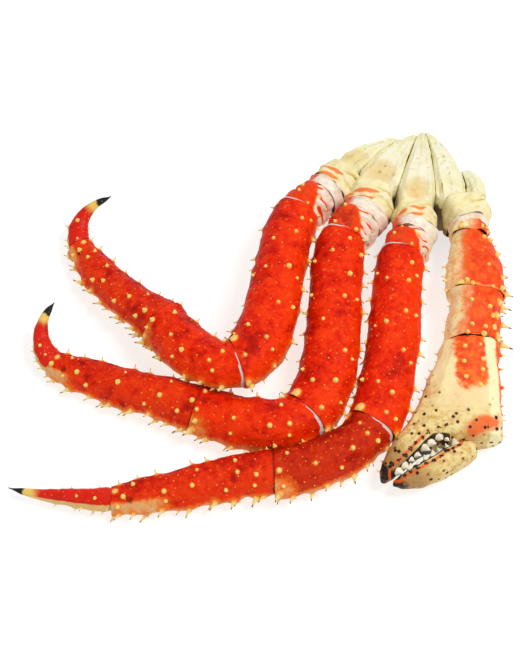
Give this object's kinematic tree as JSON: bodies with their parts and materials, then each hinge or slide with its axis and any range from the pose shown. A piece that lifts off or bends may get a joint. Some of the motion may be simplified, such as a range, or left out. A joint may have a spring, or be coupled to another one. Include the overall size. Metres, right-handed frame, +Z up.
{
  "type": "king crab leg cluster",
  "caption": "Cooked king crab cluster lying on its side: spiny red walking legs, bent at the knee, and a claw arm fan out from cream shoulder plates.",
  "frame": {"origin": "middle of the footprint, on the table", "axes": "+Z up, +X towards the claw arm, +Y towards the shoulder; the legs reach towards -Y and bend at the knee towards -X"},
  "size_m": [0.3886, 0.3666, 0.0588],
  "materials": {
    "shell_red": "cooked shell, satin",
    "shell_cream": "cooked shell, satin",
    "membrane_white": "moist joint skin",
    "claw_cream": "cooked shell, satin"
  },
  "bodies": {
    "root": {"leg_1_coxa": "shell_cream", "leg_1_membrane": "membrane_white", "leg_1_ischium": "shell_red", "leg_1_merus": "shell_red", "leg_1_carpus": "shell_red", "leg_1_propodus": "shell_red", "leg_1_dactyl": "shell_red", "leg_2_coxa": "shell_cream", "leg_2_membrane": "membrane_white", "leg_2_ischium": "shell_red", "leg_2_merus": "shell_red", "leg_2_carpus": "shell_red", "leg_2_propodus": "shell_red", "leg_2_dactyl": "shell_red", "leg_3_coxa": "shell_cream", "leg_3_membrane": "membrane_white", "leg_3_ischium": "shell_red", "leg_3_merus": "shell_red", "leg_3_carpus": "shell_red", "leg_3_propodus": "shell_red", "leg_3_dactyl": "shell_red", "claw_coxa": "shell_cream", "claw_membrane": "membrane_white", "claw_ischium": "shell_red", "claw_merus": "shell_red", "claw_carpus": "claw_cream", "claw_palm": "claw_cream", "claw_finger": "claw_cream", "shoulder_plate_1": "shell_cream", "shoulder_plate_2": "shell_cream", "shoulder_plate_3": "shell_cream", "shoulder_plate_4": "shell_cream", "shoulder_plate_5": "shell_cream"}
  },
  "joints": []
}
